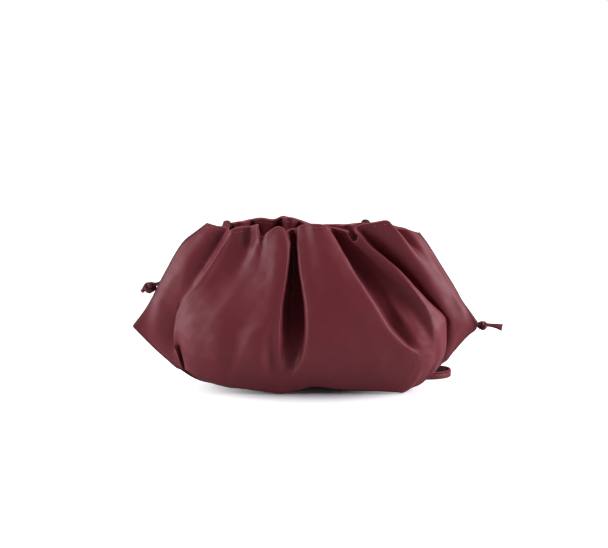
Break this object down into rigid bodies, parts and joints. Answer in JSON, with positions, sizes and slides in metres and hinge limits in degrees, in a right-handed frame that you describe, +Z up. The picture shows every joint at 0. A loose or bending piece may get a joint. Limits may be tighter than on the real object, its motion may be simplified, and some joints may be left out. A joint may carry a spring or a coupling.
{
  "type": "clutch bag",
  "caption": "Soft gathered leather pouch clutch with deep pleats below its mouth, pointed side wings and a thin knotted shoulder strap lying behind it.",
  "frame": {"origin": "under the middle of the leather bag, on the surface it stands on", "axes": "+X along the mouth to the right wing, +Y from the front to the back, +Z up"},
  "size_m": [0.2366, 0.1004, 0.1099],
  "materials": {
    "leather": "smooth, semi-matte",
    "strap_leather": "smooth, semi-matte, stitched"
  },
  "bodies": {
    "root": {"front_panel": "leather", "back_panel": "leather", "strap": "strap_leather", "knot_left": "strap_leather", "knot_right": "strap_leather"}
  },
  "joints": []
}
